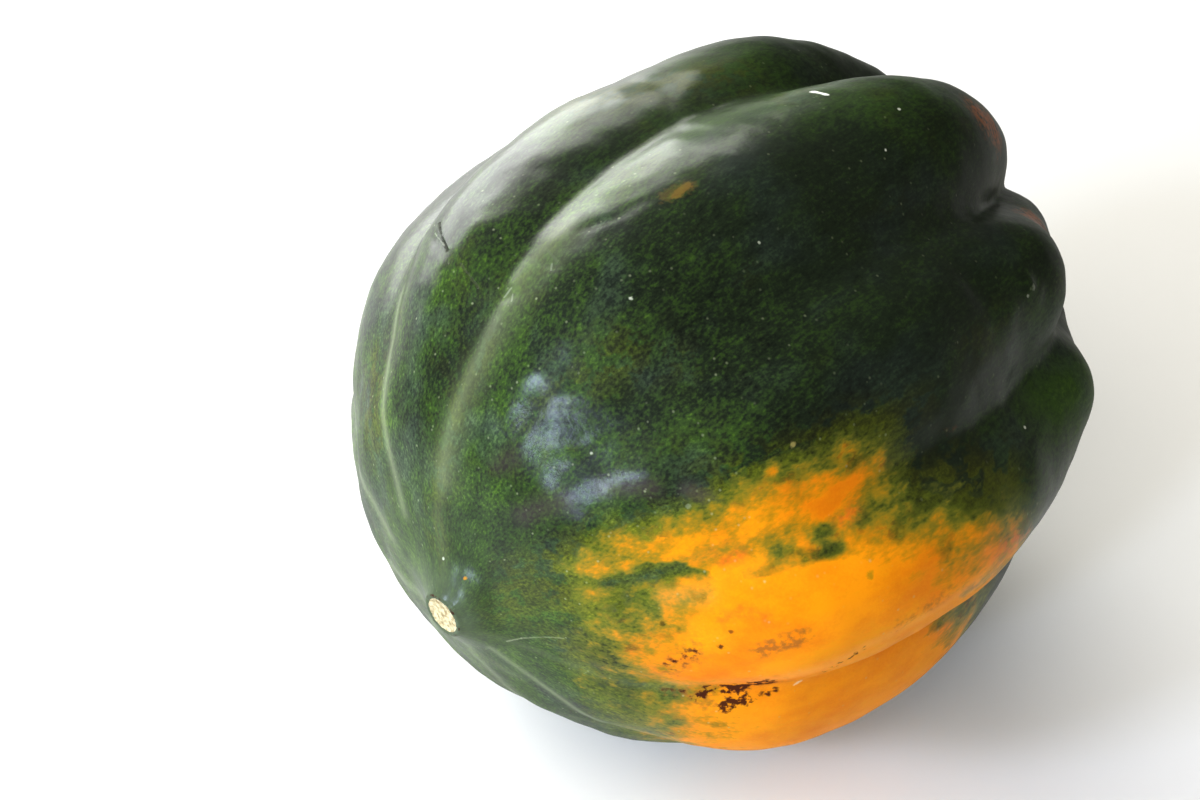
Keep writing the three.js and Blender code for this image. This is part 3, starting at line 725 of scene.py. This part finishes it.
def makeFruit():
    share = np.linspace(0, 1, relief["rows"] + 2)
    rowPlaces = np.interp(share, *np.array(relief["rowSpread"]).T)
    skin = skinPlaces(rowPlaces, relief["facesPerRib"])
    turn, along, radius = skin["turn"], skin["along"], skin["crest"][:, :1] + 0 * skin["turn"]
    angle = np.radians(turn)
    height = skin["height"].copy()
    tip = form["tipShift"]
    tipTurn = math.radians(tip["turn"])
    tipAside = tip["by"] * (1 - smoothStep(along, tip["from"], tip["to"]))

    def placed(rise):
        ring = skin["crest"][:, :1] + skin["outward"][:, :1] * rise
        level = skin["crest"][:, 1:] + skin["outward"][:, 1:] * rise
        east = ring * np.cos(angle) + tipAside * math.cos(tipTurn)
        north = ring * np.sin(angle) + tipAside * math.sin(tipTurn)
        points = np.stack([east, north, level + 0 * ring], 2)
        inner = points[1:-1].reshape(-1, 3)
        return np.concatenate([points[0, :1], inner, points[-1, :1] * [0, 0, 1]])

    smooth = placed(height)
    onlyInner = lambda grid: np.concatenate([grid[0, :1], grid[1:-1].ravel(), grid[-1, :1]])
    waves = noiseAt(smooth, relief["waveSize"]) * relief["waveHeight"]
    waves += noiseAt(smooth + relief["rippleShift"], relief["rippleSize"]) * relief["rippleHeight"]
    waves *= smoothStep(onlyInner(along), *relief["waveStart"])
    for dent in relief["dents"]:
        height = height - dent["depth"] * dentedBy(dent, turn, along, radius)
    pastScar = along - relief["scarRadius"]
    height = height + relief["rimHeight"] * np.exp(-((pastScar - relief["rimOut"]) / relief["rimWide"])**2)
    height = height - relief["scarDip"] * (1 - smoothStep(pastScar, -relief["dipWide"], 0))
    columns = turn.shape[1]
    wide = np.zeros(turn.shape)
    wide[1:-1] = waves[1:-1].reshape(-1, columns)
    points = placed(height + wide)
    cork = noiseAt(smooth, relief["corkSize"], 3) * relief["corkHeight"]
    points[:, 2] -= cork * (1 - smoothStep(onlyInner(along), *relief["corkEnd"]))

    laying = layingMatrix()
    lying = posed(smooth, laying)
    low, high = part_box("fruit")
    middle = (low + high) / 2 / mm
    least, most = lying.min(0), lying.max(0)
    found = Vector(((least[0] + most[0]) / 2, (least[1] + most[1]) / 2, least[2]))
    shift = Vector((middle.x, middle.y, -form["flatDepth"])) - found
    laying.translation = laying.translation + shift
    points = posed(points, laying)
    points[:, 2] = np.maximum(points[:, 2], 0)

    flat = onlyInner(along)
    flatTurn, flatRadius = onlyInner(turn), onlyInner(radius)
    # Patterns keep about their real size round the body and draw out into streaks at the tip
    around = np.radians(flatTurn)
    drawn = zones["patternRadius"][0] * flatRadius + zones["patternRadius"][1]
    markRadius = np.maximum(flatRadius, zones["leastRadius"])
    ripe = ripenessField(flatTurn, flat, markRadius)
    fields = {
        "skinPlace": np.stack([drawn * np.cos(around), drawn * np.sin(around), flat], 1),
        "axisPlace": smooth,
        "ripe": ripe,
        "bloom": sum(part * (1 - smoothStep(flat, start, end)) for start, end, part in zones["bloom"]),
        # The green's tone, with the pale strokes that paint sheen and reflection on the shoulders
        "shade": zones["shade"] + changed(flat, zones["shadeTip"]) + changed(flat, zones["shadeBody"])
                 + changed(ripe, zones["shadePatch"]) + strokeField(paleToneAndSheenStrokes, flatTurn, flat, flatRadius),
        "broken": 1 + changed(flat, zones["brokenBody"]),
        "gloss": (zones["glossTip"] + changed(flat, zones["glossBody"]))
                 * (1 + changed(flat, zones["glossStemEnd"]))
                 * (1 + changed(ripe, zones["glossPatch"]))
                 * (zones["glossLow"] + changed(points[:, 2], zones["glossUp"])),
    }
    for name, strokes in stainsAndHighlight.items():
        fields[name] = strokeField(strokes, flatTurn, flat, markRadius)
    faces = latheFaces(relief["rows"], columns)
    scarRows = int(np.sum(along[1:, 0] < relief["scarRadius"]))
    slots = [1 if max(face) <= columns * scarRows else 0 for face in faces]

    def onSkin(spot):
        # The mesh point nearest to a place on the skin, in the fruit's own axes
        away = np.hypot(np.radians(turnBetween(flatTurn, spot[0])) * flatRadius, flat - spot[1])
        return smooth[np.argmin(away)].tolist()

    marks = [{**mark, "from": onSkin(mark["from"]), "to": onSkin(mark.get("to", mark["from"]))}
             for mark in singleMarks]
    fruit = makePiece("squash_rind", points, faces, [waxedRind(marks), scarCork()], slots, fields)
    return fruit, laying


fruit, laying = makeFruit()
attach(fruit, "root")
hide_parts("fruit")
print("rind:", len(fruit.data.polygons), "faces")


# The dry stub of the stem, five-sided, in the same values as the solid and with its fibres drawn
stemForm = {
    "seatGap": 0.4, "length": 17, "line": [[9.2, 0], [7.6, 3], [6.6, 8], [6.4, 13], [7, 17]],
    "ridges": 5, "ridgeDepth": 1.5, "twist": 12, "bend": 1.5, "pithDip": 1,
    "sideRows": 68, "cutRows": 21, "cutSpan": [0.96, 0.04], "columns": 160, "sunk": 1.4,
    "fibreHeight": 0.22, "fibreSize": 1.4, "fibreRound": 9,  # mm, the round that the fibres are drawn on
}


# Dried stem: corky fibres, matt and straw-brown, with grooves that hold the dark
def driedStem():
    look = {
        "straw": "bcaa7b", "brown": "7c6643", "dark": "473926", "worn": "7f7a4c", "roughness": 0.82,
        "fibreSize": 1.0, "fibreStretch": 0.12, "fibreDepth": 0.25,
        "wornSize": 4, "wornSpan": [0.45, 0.7, 0, 0.5],
    }
    material, tree = startMaterial("squash_stem_dried_fibrous")
    place = addNode(tree, "Attribute", out="Vector", attribute_name="stemPlace")
    fibres = addNode(tree, "Mapping", {"Vector": place, "Scale": (1, 1, look["fibreStretch"])})
    streak = addNode(tree, "TexNoise", {"Vector": fibres, "Scale": 1 / look["fibreSize"], "Detail": 4})
    worn = addNode(tree, "TexNoise", {"Vector": place, "Scale": 1 / look["wornSize"], "Detail": 2})
    tone = addNode(tree, "ValToRGB", [streak], stops=[
        (0.3, look["dark"]), (0.45, look["brown"]), (0.68, look["straw"])])
    part = addNode(tree, "MapRange", [worn, *look["wornSpan"]])
    colour = addNode(tree, "Mix", {0: part, 6: tone, 7: look["worn"]}, 2, data_type="RGBA")
    bump = addNode(tree, "Bump", {"Height": streak, "Strength": 0.7, "Distance": look["fibreDepth"] * mm})
    shader = addNode(tree, "BsdfPrincipled", {
        "Base Color": colour, "Roughness": look["roughness"], "IOR": 1.45, "Normal": bump})
    addNode(tree, "OutputMaterial", {"Surface": shader})
    return material


def makeStem():
    columns = stemForm["columns"]
    side, outward, length = walkLine(stemForm["line"], np.linspace(0, 1, stemForm["sideRows"]))
    seat = np.array([[side[0, 0], -stemForm["sunk"]]])
    inward = np.linspace(*stemForm["cutSpan"], stemForm["cutRows"])
    cut = np.stack([side[-1, 0] * inward, stemForm["length"] - stemForm["pithDip"] * (1 - inward**2)], 1)
    line = np.concatenate([seat, side, cut])
    turn = np.linspace(0, 2 * np.pi, columns, endpoint=False)
    ridge = 0.5 - 0.5 * np.cos(stemForm["ridges"] * turn)
    share = np.clip(line[:, 1:] / stemForm["length"], 0, 1)
    turned = turn + math.radians(stemForm["twist"]) * share
    ring = line[:, :1] * (1 - stemForm["ridgeDepth"] / stemForm["line"][0][0] * (1 - ridge))
    drawn, size = stemForm["fibreRound"], stemForm["fibreSize"]
    fibreAt = lambda t, z: Vector((drawn * math.cos(t), drawn * math.sin(t), z / drawn)) / size
    fibre = np.array([[noise.fractal(fibreAt(t, z), 0.7, 2.0, 3) for t in turn] for z in line[:, 1]])
    onSide = (np.arange(len(line)) < len(line) - len(cut))[:, None]
    ring = ring + fibre * stemForm["fibreHeight"] * onSide
    level = line[:, 1:] + 0 * ring + fibre * stemForm["fibreHeight"] * ~onSide
    points = np.stack([ring * np.cos(turned) + stemForm["bend"] * share**2, ring * np.sin(turned), level], 2)
    pith = stemForm["length"] - stemForm["pithDip"]
    poles = np.array([[0, 0, -stemForm["sunk"]], [stemForm["bend"], 0, pith]])
    local = np.concatenate([poles[:1], points.reshape(-1, 3), poles[1:]])
    seated = local + [0, 0, form["hollowFloor"] + stemForm["seatGap"]]
    faces = latheFaces(len(line), columns)
    return makePiece("squash_stem", posed(seated, laying), faces, [driedStem()], [0] * len(faces),
                     {"stemPlace": local})


stem = makeStem()
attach(stem, "root")
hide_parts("stem")
print("stem:", len(stem.data.polygons), "faces")


# Where the squash is seen and lit. Headings are degrees from +X towards +Y, and distances are mm.
studio = {
    "lens": 56.4, "fromTip": [-116.2, -149.8, 240.3], "lookHeading": 43.57, "lookDown": 45.82,
    "aimHeight": 55, "floorSize": 6000,
    "paper": "f4f3ef", "paperRoughness": 0.7, "toothPerMetre": 700, "toothHeight": 0.1,
    # Each light stands at a heading and height seen from the squash and faces it, and shows in the wax or not
    "lights": {
        "window": {
            "heading": 78, "height": 7, "away": 900, "size": [880, 500], "watts": 12.4, "tint": "fafbf9"},
        "highWindow": {
            "heading": 62, "height": 29, "away": 900, "size": [720, 360], "watts": 4.6, "tint": "fefdf7"},
        "farPane": {
            "heading": 160, "height": 29, "away": 1000, "size": [170, 150], "watts": 5.2, "tint": "d2e2ff"},
        "nearPane": {
            "heading": 185, "height": 22, "away": 1000, "size": [100, 100], "watts": 3.3, "tint": "d2e2ff"},
        "ceiling": {
            "heading": 180, "height": 52, "away": 450, "size": [520, 420], "watts": 2.05, "tint": "fffaf2",
            "shows": False},
        "rightFill": {
            "heading": 328, "height": 12, "away": 1000, "size": [700, 300], "watts": 0.95, "tint": "fff6ea",
            "shows": False},
    },
    # The room glows most from one side
    "roomTop": "6e6e6e", "roomDark": "5c5c5c", "roomGlow": 1.6, "roomSpan": [-0.3, 0.8],
    "brightHeading": 150, "brightLevel": 0.64, "brightUp": 0.77, "contrast": 0.86,
}


def makeStudio():
    scene = bpy.context.scene
    half = studio["floorSize"] / 2 * mm
    floorMesh = bpy.data.meshes.new("paper_floor")
    corners = [(-half, -half, 0), (half, -half, 0), (half, half, 0), (-half, half, 0)]
    floorMesh.from_pydata(corners, [], [(0, 1, 2, 3)])
    floor = bpy.data.objects.new("paper_floor", floorMesh)
    scene.collection.objects.link(floor)
    paper, tree = startMaterial("paper_uncoated_white")
    where = addNode(tree, "TexCoord", out="Object")
    tooth = addNode(tree, "TexNoise", {"Vector": where, "Scale": studio["toothPerMetre"], "Detail": 3})
    bump = addNode(tree, "Bump", {"Height": tooth, "Strength": 0.15, "Distance": studio["toothHeight"] * mm})
    shader = addNode(tree, "BsdfPrincipled", {
        "Base Color": studio["paper"], "Roughness": studio["paperRoughness"], "Normal": bump})
    addNode(tree, "OutputMaterial", {"Surface": shader})
    floorMesh.materials.append(paper)

    target = Vector((0, 0, studio["aimHeight"] * mm))
    for name, light in studio["lights"].items():
        heading, height = math.radians(light["heading"]), math.radians(light["height"])
        level = math.cos(height)
        toward = Vector((math.cos(heading) * level, math.sin(heading) * level, math.sin(height)))
        data = bpy.data.lights.new(name, "AREA")
        data.shape = "RECTANGLE"
        data.size, data.size_y = light["size"][0] * mm, light["size"][1] * mm
        data.energy = light["watts"]
        data.color = linearColour(light["tint"])[:3]
        lamp = bpy.data.objects.new(name, data)
        lamp.visible_glossy = light.get("shows", True)
        lamp.location = target + toward * light["away"] * mm
        lamp.rotation_euler = toward.to_track_quat("Z", "Y").to_euler()
        scene.collection.objects.link(lamp)

    world = bpy.data.worlds.new("room")
    world.use_nodes = True
    tree = world.node_tree
    tree.nodes.clear()
    toward = addNode(tree, "TexCoord", out="Generated")
    heading, level = math.radians(studio["brightHeading"]), studio["brightLevel"]
    bright = Vector((math.cos(heading) * level, math.sin(heading) * level, studio["brightUp"]))
    side = addNode(tree, "VectorMath", [toward, bright], "Value", operation="DOT_PRODUCT")
    part = addNode(tree, "MapRange", [side, *studio["roomSpan"]])
    colour = addNode(tree, "Mix", {
        0: part, 6: studio["roomDark"], 7: studio["roomTop"]}, 2, data_type="RGBA")
    glow = addNode(tree, "Background", {"Color": colour, "Strength": studio["roomGlow"]})
    addNode(tree, "OutputWorld", {"Surface": glow})
    scene.world = world

    camera = bpy.data.objects.new("camera", bpy.data.cameras.new("camera"))
    camera.data.lens = studio["lens"]
    camera.data.sensor_width = 36
    camera.location = laying.translation * mm + Vector(studio["fromTip"]) * mm
    tilt, heading = math.radians(90 - studio["lookDown"]), math.radians(studio["lookHeading"] - 90)
    camera.rotation_euler = Euler((tilt, 0, heading))
    camera.data.clip_start = 0.01
    scene.collection.objects.link(camera)
    scene.camera = camera
    scene.view_settings.view_transform = "Standard"
    scene.view_settings.gamma = studio["contrast"]


makeStudio()
print("studio: lights, floor and camera")
